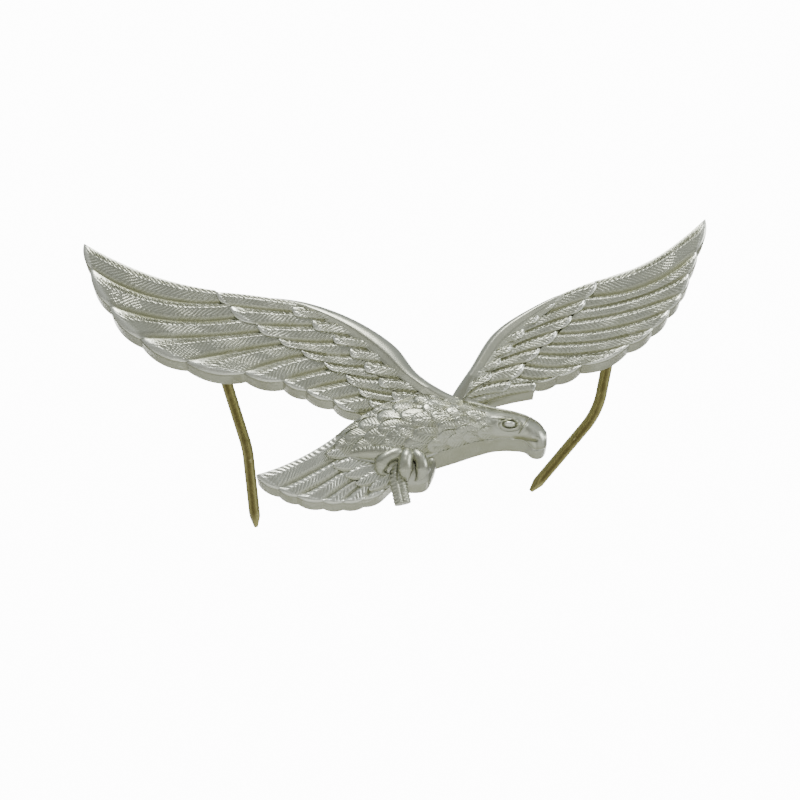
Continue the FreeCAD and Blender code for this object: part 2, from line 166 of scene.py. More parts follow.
TAIL = [
    ((-8.6, 0.2), (-13.4, -3.4), (-18.2, -5.5)),
    ((-9.5, -3.3), (-12.4, -5.1), (-15.9, -7.0)),
    ((-9.2, -4.7), (-11.4, -6.3), (-14.0, -7.8)),
    ((-8.4, -6.0), (-9.9, -7.1), (-11.4, -8.3)),
    ((-7.4, -6.5), (-8.4, -7.3), (-9.4, -8.4)),
    ((-6.2, -6.6), (-6.7, -7.3), (-7.3, -8.1)),
    ((-4.4, -6.0), (-4.9, -6.6), (-5.2, -7.2)),
]
TAIL_LEAD = [(-7.6, 0.7), (-13.4, -3.4), (-18.2, -5.5)]
TAIL_ROOT = (-3.6, -5.6)
# Short pointed feathers over the root of the tail: (root x, root z, tip x, tip z, width).
TROUSER = [(-7.4, -2.6, -11.0, -3.4, 1.7), (-6.6, -4.1, -10.3, -4.6, 1.9), (-5.6, -4.6, -9.1, -5.7, 1.8),
           (-4.8, -5.0, -8.0, -6.6, 1.7), (-4.3, -5.5, -6.7, -7.2, 1.4)]
# The short feather between the right wing and the head.
STUB_UPPER = [(3.8, 3.6), (8.0, 4.8), (10.5, 4.9)]
STUB_LOWER = [(3.4, 2.0), (7.4, 3.3), (10.3, 3.9)]

# Smooth arm of each wing: its outer and inner edge, from the body out.
LEFT_ARM_OUTER = [(5.0, 1.6), (3.4, 2.9), (1.5, 3.7), (-1.6, 5.85), (-3.95, 9.05), (-7.1, 11.5),
                  (-12.4, 13.95), (-17.8, 14.95)]
LEFT_ARM_INNER = [(2.2, 1.0), (1.1, 1.9), (-0.4, 2.7), (-3.5, 4.95), (-5.7, 7.15), (-8.4, 9.65),
                  (-12.1, 12.15), (-16.2, 14.2)]
RIGHT_ARM_OUTER = [(1.0, 2.0), (1.9, 3.8), (3.5, 6.3), (6.2, 10.65), (10.4, 13.65), (15.5, 16.0)]
RIGHT_ARM_INNER = [(3.6, 1.5), (4.45, 3.35), (5.65, 5.85), (8.1, 9.3), (11.1, 12.15), (14.9, 14.85)]

# web_root is where the plate's trailing edge leaves the body. arm_crest is the arm's depth at
# ARM_STATIONS of its length, and arm_turn the share of its width over which its front rises. tuck sets
# the plate's back in, so that backs that overlap don't share one plane.
ARM_STATIONS = [0, 0.2, 0.5, 0.85, 1.0]
WINGS = {
    "left": {
        "lead": LEFT_LEAD, "flight": LEFT_FLIGHT, "covert": LEFT_COVERT, "tuft": LEFT_TUFT,
        "web_root": (-7.2, 1.0), "arm_outer": LEFT_ARM_OUTER, "arm_inner": LEFT_ARM_INNER,
        "arm_crest": [2.5, 3.35, 3.25, 3.0, 2.35], "arm_turn": 0.7, "tuck": 0.0,
    },
    "right": {
        "lead": RIGHT_LEAD, "flight": RIGHT_FLIGHT, "covert": RIGHT_COVERT, "tuft": RIGHT_TUFT,
        "web_root": (5.0, 2.0), "arm_outer": RIGHT_ARM_OUTER, "arm_inner": RIGHT_ARM_INNER,
        "arm_crest": [2.3, 3.0, 3.05, 2.95, 2.35], "arm_turn": 0.35, "tuck": 0.014,
    },
}
WEB_ROWS = 84
ARM_TUCK = 0.03
TAIL_TUCK = 0.01
BODY_TUCK = 0.02
FOOT_TUCK = 0.03
STUB_TUCK = 0.04

# Body, neck, head and beak: (x, lowest z, highest z, depth of the crest).
BODY = [
    (-10.2, -3.2, -1.2, 2.8), (-8.0, -4.0, 0.5, 3.35), (-5.0, -4.5, 2.35, 3.85), (-1.0, -4.2, 3.72, 4.15),
    (2.0, -3.3, 3.2, 4.05), (4.3, -2.5, 2.6, 3.7), (6.2, -2.0, 2.0, 3.4), (8.0, -1.95, 1.62, 3.3),
    (9.3, -2.15, 1.2, 3.2), (10.1, -2.75, 0.75, 3.1), (10.9, -2.75, 0.2, 2.95), (11.42, -2.1, -0.8, 2.5),
]
# How far the front rim of the neck and jaw stands above the rim at the back: (x, height).
JAW_INSET = [(-2.5, 0.0), (0.5, 0.8), (3.3, 0.75), (6.1, 0.42), (9.0, 0.4), (10.2, 0.0)]
# Body feathers: (tip x, tip z, middle x, middle z), listed from the tail to the head.
BODY_FEATHERS = [
    (-9.7, -2.6, -8.8, -2.4), (-9.3, -0.9, -8.3, -0.9), (-8.8, -1.7, -7.8, -1.6), (-7.9, -3.0, -6.9, -2.8),
    (-7.6, 0.9, -6.7, 0.8), (-7.4, -0.3, -6.4, -0.4), (-6.9, -1.8, -5.8, -1.8), (-6.1, 1.7, -5.2, 1.5),
    (-5.4, 0.6, -4.6, 0.4), (-5.3, -2.9, -4.3, -2.7), (-5.5, -0.9, -4.5, -0.9), (-4.6, -1.9, -3.6, -1.9),
    (-3.9, 1.7, -3.1, 1.4), (-3.7, -0.9, -2.8, -1.1), (-3.2, 0.5, -2.3, 0.4), (-2.8, -2.7, -1.8, -2.7),
    (-2.2, -0.1, -1.2, -0.1), (-2.0, -1.7, -1.0, -1.8), (-1.9, 2.7, -1.0, 2.4), (-1.0, 1.4, -0.1, 1.2),
    (-0.5, 2.1, 0.4, 1.9), (-0.6, -3.0, 0.4, -2.9), (-0.3, 0.3, 0.7, 0.2), (0.4, -1.0, 1.4, -1.1),
    (0.3, -2.2, 1.4, -2.1), (1.4, 1.0, 2.2, 0.8), (2.3, 1.8, 3.1, 1.5), (2.1, -0.3, 3.0, -0.4),
    (1.0, 3.0, 1.9, 2.7), (1.4, -2.6, 2.3, -2.4), (2.2, -1.5, 3.1, -1.5), (3.5, 0.7, 4.2, 0.5),
    (3.0, -2.1, 3.9, -1.9), (3.4, -1.0, 4.2, -1.1), (4.6, -0.2, 5.2, -0.2), (4.6, -1.5, 5.3, -1.4),
]
EYE = (7.6, -0.35)

# Toes: radius, and points (x, depth, z) from the ankle over the knuckle to the claw.
TOES = [
    (0.72, [(-3.4, 2.9, -3.5), (-4.5, 3.4, -3.8), (-5.4, 3.3, -4.5), (-5.5, 2.9, -5.2), (-4.7, 2.6, -5.5)]),
    (0.74, [(-2.9, 2.9, -3.5), (-2.95, 3.55, -4.1), (-3.05, 3.6, -4.9), (-3.0, 3.1, -5.8),
            (-2.8, 2.5, -6.2)]),
    (0.70, [(-2.2, 2.8, -3.5), (-1.6, 3.3, -4.1), (-1.35, 3.25, -4.9), (-1.55, 2.9, -5.7),
            (-2.1, 2.5, -6.2)]),
]
# A toe's thickness along it, as shares of its length and of its radius.
TOE_STATIONS = [0, 0.1, 0.35, 0.6, 0.8, 1]
TOE_THICKNESS = np.array([0.8, 1.15, 0.98, 1.12, 0.7, 0.12])
THIGH = [(-9.6, 2.3, -3.5), (-8.3, 2.6, -3.3), (-6.6, 2.95, -3.3), (-4.8, 3.1, -3.4), (-2.6, 2.7, -3.6)]
THIGH_STATIONS = [0, 0.08, 0.3, 0.6, 0.85, 1]
THIGH_RADII = [0.1, 0.35, 0.70, 0.85, 0.70, 0.4]
THIGH_BEAD = 0.13
BEAD_COUNT = 17
LIMB_SHADE = 0.15
FOOT_UPPER = [(-6.3, -3.6), (-3.0, -3.0), (-0.2, -3.5)]
FOOT_LOWER = [(-6.0, -4.6), (-4.6, -6.0), (-2.6, -6.55), (-0.95, -6.3), (-0.25, -5.1), (0.1, -3.9)]
TWIG = [(-3.7, 2.6, -4.6), (-3.85, 2.55, -5.8), (-3.6, 2.4, -7.2), (-3.3, 2.3, -8.6)]
TWIG_WIDTH = 0.86
TWIG_FLATNESS = 0.55
TWIG_GROOVE = 0.22
TWIG_SHADE = 0.2

LEFT_POCKET = [(-32.0, 14.6), (-27.0, 14.9), (-20.0, 13.9), (-12.0, 12.0), (-7.0, 8.8), (-8.5, 5.8),
               (-13.5, 6.4), (-20.0, 7.3), (-26.0, 8.5), (-30.5, 11.2)]
RIGHT_POCKET = [(6.8, 7.4), (8.8, 10.4), (13.0, 13.2), (18.5, 15.6), (23.6, 16.8), (24.6, 15.2),
                (21.9, 11.2), (17.6, 8.9), (11.5, 7.2), (8.4, 6.2)]
BODY_POCKET = [(-7.6, -1.2), (-5.0, 0.7), (-1.0, 1.6), (3.2, 1.0), (5.6, 0.0), (4.2, -1.2), (0.4, -2.4),
               (-4.5, -2.9)]

# Places on the prongs are written with y, which is 0 on the back rim and grows backwards.
WIRE_RADIUS = 0.6
WIRE_ROOT_Y = -0.88
HINGE_Y = 0.15
LEG_LEAN = 50.0
POINT_LENGTH = 1.9
POINT_RADIUS = 0.16
KNEE_RADIUS = 1.0
FOOT_ROWS = 10
KNEE_ROWS = 24
# Each prong: root (x, z), angle of its first straight, first length, bend radius, bend angle, last length.
PRONGS = {
    "left": (-23.9, 12.3, 15.5, 12.8, 12.0, -11.0, 6.0),
    "right": (19.5, 13.5, -9.0, 8.35, 8.5, -29.0, 7.4),
}
# Outlines of the turned pieces: (y, radius) pairs.
PAD_PROFILE = [(-1.29, 1.80), (-1.28, 1.93), (-1.22, 1.985), (-0.98, 1.985), (-0.92, 1.93), (-0.905, 1.80)]
FILLET_PROFILE = [(-0.91, 1.40), (-0.86, 1.22), (-0.78, 0.98), (-0.68, 0.80), (-0.60, 0.72)]

GRAIN_DEPTH = 0.00002

# Studio, in metres. Lights: name, place, size, power, colour.
LIGHT_AIM = (0, 0, 0.005)
LIGHTS = [
    ("key_light", (0.0, -0.25, 0.38), 0.18, 1.3, (1, 1, 1)),
    ("side_light", (0.32, -0.22, 0.14), 0.20, 0.5, (0.95, 0.98, 1.0)),
    ("low_light", (-0.10, -0.22, -0.30), 0.20, 0.35, (1.0, 1.0, 0.92)),
]
SCREEN_STRENGTH = 13.0
SCREEN_DIRECTION = (0.0, 0.92, 0.39)
ROOM_STRENGTH = (0.17, 0.66)
FLOOR_SIZE = 6.0
FLOOR_HEIGHT = -0.25
CAMERA_PLACE = (-0.0036, -0.1700, -0.0718)
CAMERA_AIM = (-0.0036, -0.0011, 0.0034)
CAMERA_LENS = 80.0


# ---------------------------------------------------------------- surfaces


def smooth_line(points, share):
    """A smooth curve through the points, read at shares 0 to 1 of the chord length. Between two points it
    is the cubic with their positions and slopes. The slope at a point is that of the parabola through it
    and its neighbours, and at an end that of the parabola through the end's three points."""
    p = np.array(points, float)
    reach = np.concatenate([[0.0], np.cumsum(np.linalg.norm(np.diff(p, axis=0), axis=1))])
    reach /= reach[-1]
    slope = np.gradient(p, reach, axis=0, edge_order=2)
    s = np.clip(np.asarray(share, float), 0.0, 1.0)
    k = np.clip(np.searchsorted(reach, s, side="right") - 1, 0, len(reach) - 2)
    width = (reach[k + 1] - reach[k])[..., None]
    u = (s - reach[k])[..., None] / width
    start = (1 + 2 * u) * (1 - u) ** 2 * p[k] + u * (1 - u) ** 2 * width * slope[k]
    end = u * u * (3 - 2 * u) * p[k + 1] + u * u * (u - 1) * width * slope[k + 1]
    return start + end


def smooth_step(value, low, high):
    """0 up to low, 1 from high, and 3t^2 - 2t^3 between them."""
    t = np.clip((value - low) / (high - low), 0.0, 1.0)
    return t * t * (3 - 2 * t)


def bump(value, width):
    """A bell curve: 1 at zero, e^-1 at the width."""
    return np.exp(-((value / width) ** 2))


def wave(phase):
    """A cosine wave between 0 and 1, one wave for each unit of phase."""
    return 0.5 + 0.5 * np.cos(2 * np.pi * phase)


def ring_angles(sides):
    return np.arange(sides) * 2 * np.pi / sides


def angle_bump(angle, centre, width):
    """A bell curve round the angle centre, measured the short way round the ring."""
    return bump(np.angle(np.exp(1j * (angle - centre))), width)


def shares(rows, cols):
    """Shares 0 to 1 along the rows and across the columns of a grid."""
    return np.meshgrid(np.linspace(0, 1, rows), np.linspace(0, 1, cols), indexing="ij")


def ruled(first, second, share):
    """Straight lines between two edges, given as (x, z) grids: x and z at the share of the way across."""
    place = first + (second - first) * share[..., None]
    return place[..., 0], place[..., 1]


def limb_line(points, rows):
    """Centre line in the frame's (x, y, z) through (x, depth, z) points."""
    path = smooth_line(points, np.linspace(0, 1, rows))
    return np.stack([path[:, 0], -path[:, 1], path[:, 2]], axis=-1)


def inside_distance(x, z, points):
    """Distance from each (x, z) to the closed smooth loop through the points, positive inside it: the
    least distance to the loop's sides, and inside where a ray along x crosses the loop an odd number of
    times."""
    loop = smooth_line(points + points[:1], np.linspace(0, 1, 97))
    a, b = loop[:-1], loop[1:]
    flat = np.stack([x.ravel(), z.ravel()], axis=-1)[:, None, :]
    side = b - a
    share = np.clip(np.sum((flat - a) * side, axis=-1) / np.sum(side * side, axis=-1), 0, 1)
    gap = np.linalg.norm(flat - a - share[..., None] * side, axis=-1).min(axis=1)
    crossing = (a[:, 1] > flat[..., 1]) != (b[:, 1] > flat[..., 1])
    height = np.where(np.abs(side[:, 1]) < 1e-9, 1e-9, side[:, 1])
    at_x = a[:, 0] + (flat[..., 1] - a[:, 1]) / height * side[:, 0]
    inside = (np.sum(crossing & (flat[..., 0] < at_x), axis=1) % 2) == 1
    return np.where(inside, gap, -gap).reshape(x.shape)


def hollow_depth(x, z):
    """Depth of the back surface: zero on the rim, easing down to each pocket's flat floor."""
    left, right, middle = [inside_distance(x, z, loop) for loop in (LEFT_POCKET, RIGHT_POCKET, BODY_POCKET)]
    wings = POCKET_DEPTH * smooth_step(np.maximum(left, right), *POCKET_SLOPE)
    return np.maximum(wings, BODY_POCKET_DEPTH * smooth_step(middle, *POCKET_SLOPE))


def grid_quads(rows, cols, first):
    i = first + np.arange(rows * cols).reshape(rows, cols)
    return np.stack([i[:-1, :-1], i[1:, :-1], i[1:, 1:], i[:-1, 1:]], axis=-1).reshape(-1, 4)


def outward(verts, quads, tris):
    """The same faces, turned over if their signed volume is negative."""
    corners = np.concatenate([quads[:, [0, 1, 2]], quads[:, [0, 2, 3]], tris])
    a, b, c = verts[corners[:, 0]], verts[corners[:, 1]], verts[corners[:, 2]]
    if np.sum(np.cross(a, b) * c) < 0:
        return quads[:, ::-1], tris[:, ::-1]
    return quads, tris


def relief(x, z, front, back, recess, rise=0.0):
    """A closed solid over one (row, column) grid of places on the face: the front at one depth, the back
    at another, and a wall round the shared border. recess is the front's, and its border row and column
    take the walls' painted shade, and the back a darker painted shade. rise lifts front points above the
    back ones, so that the wall leans."""
    rows, cols = x.shape
    count = rows * cols
    shade = recess.copy()
    # The border row and column take the walls' painted shade.
    shade[[0, -1], :] = WALL_PAINTED_SHADE
    shade[:, [0, -1]] = WALL_PAINTED_SHADE
    face = np.stack([x, -front, z + rise], axis=-1).reshape(-1, 3)
    rear = np.stack([x, -back, z], axis=-1).reshape(-1, 3)
    i = np.arange(count).reshape(rows, cols)
    border = np.concatenate([i[:-1, 0], i[-1, :-1], i[:0:-1, -1], i[0, :0:-1]])
    after = np.roll(border, -1)
    wall = np.stack([after, border, border + count, after + count], axis=-1)
    quads = np.concatenate([grid_quads(rows, cols, 0), grid_quads(rows, cols, count)[:, ::-1], wall])
    verts = np.concatenate([face, rear])
    quads, tris = outward(verts, quads, np.zeros((0, 3), int))
    # The back takes a darker painted shade.
    return verts, quads, tris, np.concatenate([shade.ravel(), np.full(count, BACK_PAINTED_SHADE)])


def tube(centre, reference, radius, recess):
    """A ring of radius[row, angle] carried along the centre line, in the plane across it, and closed at
    each end by a fan of faces to the line's own end. The ring's first direction is across both the line
    and the reference direction."""
    rows, sides = radius.shape
    along = np.gradient(centre, axis=0)
    along /= np.linalg.norm(along, axis=1)[:, None]
    side = np.cross(along, reference)
    side /= np.linalg.norm(side, axis=1)[:, None]
    lift = np.cross(side, along)
    angle = ring_angles(sides)
    spread = np.cos(angle)[None, :, None] * side[:, None] + np.sin(angle)[None, :, None] * lift[:, None]
    rings = centre[:, None] + radius[..., None] * spread
    verts = np.concatenate([rings.reshape(-1, 3), centre[:1], centre[-1:]])
    i = np.arange(rows * sides).reshape(rows, sides)
    j = np.roll(i, -1, axis=1)
    quads = np.stack([i[:-1], i[1:], j[1:], j[:-1]], axis=-1).reshape(-1, 4)
    first = np.full(sides, rows * sides)
    tris = np.concatenate([
        np.stack([first, i[0], j[0]], axis=-1),
        np.stack([first + 1, j[-1], i[-1]], axis=-1),
    ])
    quads, tris = outward(verts, quads, tris)
    return verts, quads, tris, np.concatenate([recess.ravel(), recess[0, :1], recess[-1, :1]])


def make_piece(name, solids, material, sharp_angle=42.0):
    """One mesh object from closed solids in millimetres, smooth-shaded except across sharp edges."""
    verts, quads, tris, recess = [], [], [], []
    first = 0
    for v, q, t, r in solids:
        verts.append(v)
        quads.append(q + first)
        tris.append(t + first)
        recess.append(r)
        first += len(v)
    verts = np.concatenate(verts) * MM
    quads = np.concatenate(quads)
    tris = np.concatenate(tris)
    mesh = bpy.data.meshes.new(name)
    mesh.vertices.add(len(verts))
    mesh.vertices.foreach_set("co", verts.astype(np.float32).ravel())
    mesh.loops.add(quads.size + tris.size)
    mesh.loops.foreach_set("vertex_index", np.concatenate([quads.ravel(), tris.ravel()]).astype(np.int32))
    mesh.polygons.add(len(quads) + len(tris))
    starts = np.concatenate([np.arange(len(quads)) * 4, quads.size + np.arange(len(tris)) * 3])
    mesh.polygons.foreach_set("loop_start", starts.astype(np.int32))
    mesh.update(calc_edges=True)
    mesh.shade_smooth()
    mesh.set_sharp_from_angle(angle=math.radians(sharp_angle))
    layer = mesh.attributes.new("recess", "FLOAT", "POINT")
    layer.data.foreach_set("value", np.concatenate(recess).astype(np.float32))
    piece = bpy.data.objects.new(name, mesh)
    bpy.context.scene.collection.objects.link(piece)
    mesh.materials.append(material)
    return piece


# ---------------------------------------------------------------- feathers


def bulge_out(v, chord_length, bulge):
    """A parabola over the chord: the bulge as a share of its length in the middle, nothing at both
    ends."""
    return bulge * chord_length * (1 - (2 * v - 1) ** 2)


def tip_direction(upper, lower):
    """Unit vector out of the line that joins the tips of two grooves, away from their roots."""
    chord = np.array(lower[-1]) - np.array(upper[-1])
    out = np.array([chord[1], -chord[0]]) / np.linalg.norm(chord)
    return out if np.dot(out, np.array(upper[-1]) - np.array(upper[0])) > 0 else -out


def feather_place(top, low, v, end, point, out):
    """Places on a feather between its upper and lower groove. Near the tip, where end goes from 0 to 1,
    the strip narrows by its point and its end bulges in the direction out."""
    side = 0.5 + (v - 0.5) * (1 - 2 * GROOVE_SHARE) * (1 - 0.7 * point * end**3)
    chord = np.linalg.norm(low[-1, 0] - top[-1, 0])
    reach = bulge_out(v, chord, TIP_BULGE + 0.15 * point) * end**2 - 0.03 * end
    return top + (low - top) * side[..., None] + reach[..., None] * out


def feather_barbs(u, v, length, width, number, above, below):
    """Ripple, 0 to 1, and strength of the barbs: a wave whose crests start on the shaft and slant out
    towards the tip, sharper above the shaft than below it. It wanders a little along the feather, and
    fades at the shaft, at the grooves and at the tip."""
    upper_side = v < SHAFT_SHARE
    along = u * length
    off_shaft = np.abs(v - SHAFT_SHARE) * width
    wander = 0.25 * np.sin(0.9 * along + number) + 0.12 * np.sin(2.3 * along + 2.1 * number)
    slanted = along - np.where(upper_side, *BARB_SLANT) * off_shaft
    ripple = wave(slanted / np.where(upper_side, *BARB_SPACING) + wander)
    ripple = np.where(upper_side, ripple**1.5, ripple**0.8)
    patchy = 0.75 + 0.25 * np.sin(0.9 * along + 1.9 * number)
    strength = np.where(upper_side, above, below * patchy) * smooth_step(off_shaft, 0.03, 0.16)
    fade_from = np.where(upper_side, *BARB_FADE_FROM)
    fade_to = np.where(upper_side, *BARB_FADE_TO)
    fade = smooth_step(shaft_fall(v), fade_from, fade_to)
    return ripple, strength * (1 - fade) * smooth_step(1 - u, 0.0, 0.08)


def shaft_fall(v):
    """0 on the shaft, growing evenly to 1 at the groove on either side of it."""
    return np.where(v < SHAFT_SHARE, (SHAFT_SHARE - v) / SHAFT_SHARE, (v - SHAFT_SHARE) / (1 - SHAFT_SHARE))


def feather(upper, lower, depth, number, style, root_rise=0.0):
    """A feather between two grooves, rows from root to tip and columns across. Its depth is greatest on
    the shaft, falls as a parabola to the upper groove, and evenly, then steeply, to the lower one; barbs
    ripple on both sides of the shaft, and the tip has a raised lip with a painted highlight. style gives
    the barbs' strength above and below the shaft, and how far the strip narrows at its tip. root_rise
    lifts the root, where shaft, barbs and grooves then fade out. Number 0, the first of a fan, has the
    leading edge above it and only a slight, clean groove there."""
    above, below, point = style
    length = np.linalg.norm(smooth_line(upper, 0.0) - smooth_line(upper, 1.0))
    rows = int(np.clip(length / ROW_LENGTH, *ROW_LIMITS))
    u, v = np.meshgrid(np.linspace(0, 1, rows) ** 0.97, ACROSS, indexing="ij")
    top = smooth_line(upper, u)
    low = smooth_line(lower, u)
    width = np.linalg.norm(top - low, axis=-1)
    end = np.clip(1 - (1 - u) * length / (0.75 * width[-1, 0] + 0.25), 0, 1)
    place = feather_place(top, low, v, end, point, tip_direction(upper, lower))

    grown = smooth_step(u, 0.0, 0.45) if root_rise > 0 else np.ones(u.shape)
    ripple, strength = feather_barbs(u, v, length, width, number, above, below)
    strength = strength * (1 - 0.45 * end**3) * grown
    upper_side = v < SHAFT_SHARE
    fall = shaft_fall(v)
    upper_drop = (0.22 if number > 0 else 0.066) * fall**2
    drop = np.where(upper_side, upper_drop, 0.11 * fall + 0.15 * smooth_step(fall, 0.60, 0.94))
    drop = drop * (1 - 0.45 * end**2) * grown
    shaft = SHAFT_HEIGHT * bump((v - SHAFT_SHARE) * width, 0.07) * smooth_step(1 - u, 0.0, 0.12) * grown
    lip = TIP_LIP * smooth_step(end, 0.70, 0.95)
    rounding = 0.15 * end**12
    front = depth - drop + shaft + strength * ripple + lip - rounding + root_rise * (1 - u) ** 1.5

    upper_grime = (0.8 if number > 0 else 0.0) * smooth_step(fall, 0.70, 1.0)
    grime = np.where(upper_side, upper_grime, 0.9 * smooth_step(fall, 0.64, 0.94)) * (1 - 0.8 * end**2)
    between_barbs = 0.40 * (1 - ripple) * np.minimum(strength * 12, 1)
    # Grime near the grooves and between the barbs; the last term is a painted highlight along the tip's lip.
    recess = (grime + between_barbs) * grown - 0.9 * smooth_step(end, 0.70, 0.95)
    back = np.full(u.shape, FEATHER_BACK)
    return relief(place[..., 0], place[..., 1], front, back, np.clip(recess, -1, 1))


def fan(grooves, depths, style, last_style, root_rise=0.0):
    """Feathers between neighbouring grooves, their style changing evenly from the first to the last.
    depths is the first feather's depth and the step to the next."""
    first_depth, step = depths
    count = len(grooves) - 1
    pieces = []
    for index in range(count):
        share = index / max(count - 1, 1)
        mixed = [p + (q - p) * share for p, q in zip(style, last_style)]
        depth = first_depth + step * index
        pieces.append(feather(grooves[index], grooves[index + 1], depth, index * 1.7, mixed, root_rise))
    return pieces


def lightened(solids, amount):
    """The same solids, their colour made lighter by the amount."""
    return [(verts, quads, tris, recess - amount) for verts, quads, tris, recess in solids]


def scalloped_edge(grooves):
    """The outline through the feathers' round tips, from the last groove's tip out to the first's."""
    v = np.linspace(1, 0, 25)[:-1, None]
    points = []
    for upper, lower in zip(grooves[-2::-1], grooves[:0:-1]):
        a, b = np.array(upper[-1]), np.array(lower[-1])
        chord = np.linalg.norm(b - a)
        out = tip_direction(upper, lower)
        points.append(a + (b - a) * v + bulge_out(v, chord, TIP_BULGE) * out)
    return np.concatenate(points)


def leaf(root_x, root_z, tip_x, tip_z, width):
    """The two side grooves of a leaf-shaped feather between its root and its tip."""
    along = np.array([tip_x - root_x, tip_z - root_z])
    across = np.array([-along[1], along[0]]) / np.linalg.norm(along) * width / 2
    root, tip = np.array([root_x, root_z]), np.array([tip_x, tip_z])
    middle = root + along * 0.5
    upper = [root + across * 0.7, middle + across, tip + across * 0.22]
    lower = [root - across * 0.7, middle - across, tip - across * 0.22]
    if across[1] < 0:
        upper, lower = lower, upper
    return upper, lower


def web(lead, trailing, depth, columns, tuck):
    """The plate behind the feathers, ruled between a leading and a trailing curve and hollow behind,
    grimy all over, with a slightly rounded trailing edge."""
    u, v = shares(columns, WEB_ROWS)
    x, z = ruled(smooth_line(lead, u), smooth_line(trailing, u), v)
    front = depth - 0.05 * smooth_step(v, 0.985, 1.0)
    back = np.minimum(hollow_depth(x, z) + tuck, depth - LEAST_WALL)
    return relief(x, z, front, back, np.full(x.shape, 1.0))


def arm(shape):
    """The smooth arm between the wing's outer edge and its own inner edge, from the body out to the
    wrist: a band whose depth rises from the outer edge as a quarter of an ellipse, over the share
    arm_turn of its width, and falls a little towards the inner edge."""
    u, v = shares(170, 44)
    x, z = ruled(smooth_line(shape["arm_outer"], u), smooth_line(shape["arm_inner"], u), v)
    rise = np.sqrt(1 - (1 - np.clip(v / shape["arm_turn"], 0, 1)) ** 2)
    height = np.interp(u, ARM_STATIONS, shape["arm_crest"])
    front = ARM_FOOT + (height - ARM_FOOT) * rise - 0.36 * smooth_step(v, 0.6, 1.0)
    tuck = shape["tuck"] + ARM_TUCK
    back = np.minimum(hollow_depth(x, z) + tuck, ARM_BACK)
    # The arm takes an even painted shade that darkens it a little.
    return relief(x, z, front, back, np.full(x.shape, ARM_PAINTED_SHADE))


# ---------------------------------------------------------------- body, head and beak


def body_scales(x, z, base, recess):
    """The base with its small feathers laid over it, each over the ones before. A feather is a
    half-ellipse round its middle with its round edge towards its tip: it rises towards the tip, is lowest
    at its sides, has a quill along its middle and barbs slanting out from it, and drops at its edge."""
    height = base
    for number, (tip_x, tip_z, mid_x, mid_z) in enumerate(BODY_FEATHERS):
        reach = math.hypot(tip_x - mid_x, tip_z - mid_z)
        ux, uz = (tip_x - mid_x) / reach, (tip_z - mid_z) / reach
        size = 1.75 - 0.018 * number
        p = ((x - mid_x) * ux + (z - mid_z) * uz) / size
        q = ((z - mid_z) * ux - (x - mid_x) * uz) / (1.12 - 0.012 * number)
        edge = np.sqrt(np.clip(p + 0.2, 0, None) ** 2 / 1.2 + q * q)
        hatch = wave((p * size - 1.1 * np.abs(q)) / 0.36 + 0.3 * np.sin(4 * q + number))
        hatched = smooth_step(0.75 - p, 0.0, 0.4) * smooth_step(np.abs(q), 0.05, 0.2)
        quill = 0.07 * bump(q, 0.10) * smooth_step(0.3 - p, 0.0, 0.4)
        plate = base - 0.03 + 0.16 * smooth_step(p, -0.9, 0.8) - 0.05 * q * q
        plate = plate + quill + 0.075 * hatched * hatch
        plate = plate - 0.10 * smooth_step(edge, 0.88, 1.0)
        cover = ((edge < 1.0) & (p > -1.2)) * smooth_step(p, -1.15, -0.55)
        # Grime between the hatch lines, and painted shade towards each feather's root, under the edge of the
        # feather laid over it.
        shade = 0.45 * hatched * (1 - hatch) + 0.55 * smooth_step(-p, 0.0, 0.9)
        height = height + cover * (plate - height)
        recess = recess + cover * (shade - recess)
    return height, recess


def head_features(x, z):
    """Height and recess that the head's features add: the eye, a dome in rings that are bell curves round
    its centre; the brow, a ridge over a furrow along a parabola; the cere, a ridge before a furrow across
    the beak's root; and the mouth, a furrow with the jaw set back below it."""
    eye_x, eye_z = EYE
    r = np.hypot((x - eye_x) / 1.2, (z - eye_z) / 0.72)
    height = 0.30 * np.sqrt(np.clip(1 - (r / 0.52) ** 2, 0, 1)) - 0.12 * bump(r - 0.60, 0.08)
    height = height + 0.12 * bump(r - 0.78, 0.10) - 0.08 * bump(r - 0.98, 0.09)
    # The eye's furrows are grimy, and its dome has a painted highlight.
    recess = 0.8 * bump(r - 0.60, 0.1) + 0.4 * bump(r - 0.98, 0.1) - 0.8 * bump(r, 0.4)

    brow = z - 0.28 + 0.06 * (x - 6.6) ** 2
    brow_span = smooth_step(x, 5.6, 7.0) * (1 - smooth_step(x, 8.2, 8.8))
    height = height + brow_span * (0.10 * bump(brow - 0.16, 0.16) - 0.16 * bump(brow + 0.07, 0.07))
    recess = recess + 0.3 * brow_span * bump(brow + 0.07, 0.08)

    cere = x - 9.05 - 0.55 * (z + 0.3)
    cere_span = smooth_step(z, -1.5, -1.2)
    height = height + cere_span * (0.12 * bump(cere - 0.18, 0.12) - 0.10 * bump(cere, 0.07))
    recess = recess + 0.3 * cere_span * bump(cere, 0.08)

    mouth = z + 1.62 + 0.09 * (x - 8.2)
    mouth_span = smooth_step(x, 7.6, 8.4) * (1 - smooth_step(x, 10.2, 10.6))
    height = height - mouth_span * (0.30 * bump(mouth, 0.10) + 0.22 * smooth_step(-mouth, 0.0, 0.12))
    recess = recess + 0.9 * mouth_span * bump(mouth, 0.13)
    return height, recess


